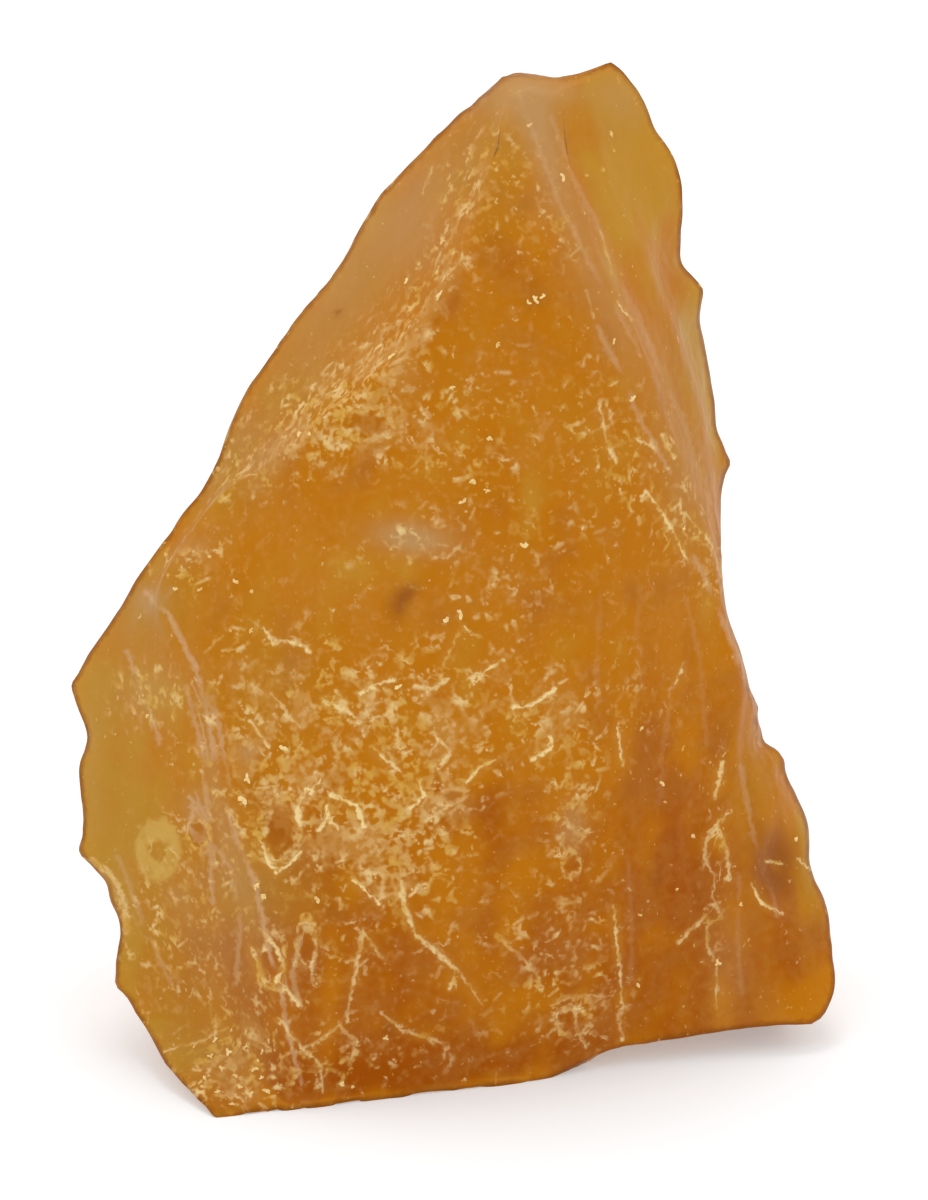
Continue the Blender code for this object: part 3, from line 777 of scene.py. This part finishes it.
# ---- the lump ----------------------------------------------------------------
mesh = fine_mesh(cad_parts["copal"])
points, normals = read_points(mesh), read_normals(mesh)
pixels = to_pixels(points)
facing = normals @ np.array(TO_CAMERA)
front = np.clip(facing * 4, 0, 1)  # 1 where the camera sees the skin, 0 behind
behind = 1 - front
back_frost = np.clip(noise_at(points, 7 * MM, 3) * 1.2 + 0.2, 0, 1)
frost = front * zone_sum(pixels, FROST) + behind * back_frost
points = points + normals * relief(points, pixels, front, frost)[:, None]
points[:, 2] = np.maximum(points[:, 2], 0)
write_points(mesh, points)
normals = read_normals(mesh)

# ---- its marks: fields on the mesh that the resin reads ------------------------
tree = tree_of(mesh)
thick = thickness(tree, points, normals)
seen = front > 0.05
from_behind = [WIDTH / 2 - points[:, 0] / PIXEL, BACK_FLOOR - points[:, 2] / PIXEL]
view = np.where(seen[:, None], pixels, np.stack(from_behind, axis=1))


def strokes_on(strokes, seed, count):
    """The fields of the placed strokes on the front and of random ones behind."""
    here, there = stroke_field(view, strokes), stroke_field(view, random_strokes(seed, count))
    return [np.where(seen, a, b) for a, b in zip(here, there)]


side, near, width, tone = strokes_on(STROKES, 8, 80)
# painted sheen lines on the front, and random ones behind
sheen_side, sheen_near, _, sheen_tone = strokes_on(PINK_SHEEN_LINES, 9, 40)
outline, sharp = outline_distance(mesh, points, to_pixels(points), tree)
outline += BEHIND_OFF * np.clip(-4 * (normals @ np.array(TO_CAMERA)), 0, 1)
tall = points * np.array([1, 1, 0.16])
blotch = noise_at(points, 2.4 * MM, 31) + 0.5 * noise_at(points, 1.2 * MM, 32)
chips = noise_at(points, 0.9 * MM, 34)
streak = noise_at(tall, 1.6 * MM, 33)
# the resin's own depth, painted shade towards the bottom and the lower right, and a painted glow along thin
# edges
deep_shade_and_glow = front * zone_sum(pixels, DEEP_SHADE_AND_GLOW) + (0.3 + 0.6 * behind) * noise_at(points, 9 * MM, 21)
depth = deep_shade_and_glow - 0.9 * np.exp(-thick / (5 * MM)) + 0.5 * blotch + 0.4 * streak
# whitish clouding, partly painted sheen
haze_and_sheen = np.clip(front * zone_sum(pixels, HAZE_AND_SHEEN), 0, 0.8)
stain = np.clip(front * zone_sum(pixels, STAINS), 0, 1)
# painted shade: darker where the resin is thin
rim = np.clip(1.2 * np.exp(-thick / (0.5 * MM)), 0, 0.4)
ring = np.where(seen, loop_field(pixels, [(*RING, 0)]), 4)
loop = np.where(seen, loop_field(pixels, LOOPS), 4)
# painted shade over the apex, the slopes and the edges
painted_shade = np.clip(front * zone_sum(pixels, PAINTED_SHADE_ZONES), 0, 0.8)

mesh.attributes.new("painted_shade", "FLOAT", "POINT").data.foreach_set("value", painted_shade)
fields = {  # packed by threes, as an attribute is cheaper to read than three
    "body": (depth, haze_and_sheen, stain),
    "skin": (np.clip(frost + 0.05, 0, 1.5), 0.5 + 0.45 * blotch, 0.5 + 0.55 * chips),
    "edges": (outline, rim, ring),
    "strokes": (side, near, width),
    "sheen_lines": (sheen_side, sheen_near, sheen_tone),
    "others": (tone, loop, sharp),
}
for name, values in fields.items():
    packed = np.stack(values, axis=1).ravel()
    mesh.attributes.new(name, "FLOAT_VECTOR", "POINT").data.foreach_set("vector", packed)

# ---- the pieces ----------------------------------------------------------------
mesh.shade_smooth()
mesh.materials.clear()
mesh.materials.append(resin())
mesh.name = "copal_lump"
lump = bpy.data.objects.new("copal_lump", mesh)
bpy.context.scene.collection.objects.link(lump)

flakes = crumbs(tree)
flakes.data.materials.append(crumb_resin())

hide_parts("copal")
for piece in (lump, flakes):
    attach(piece, "root")
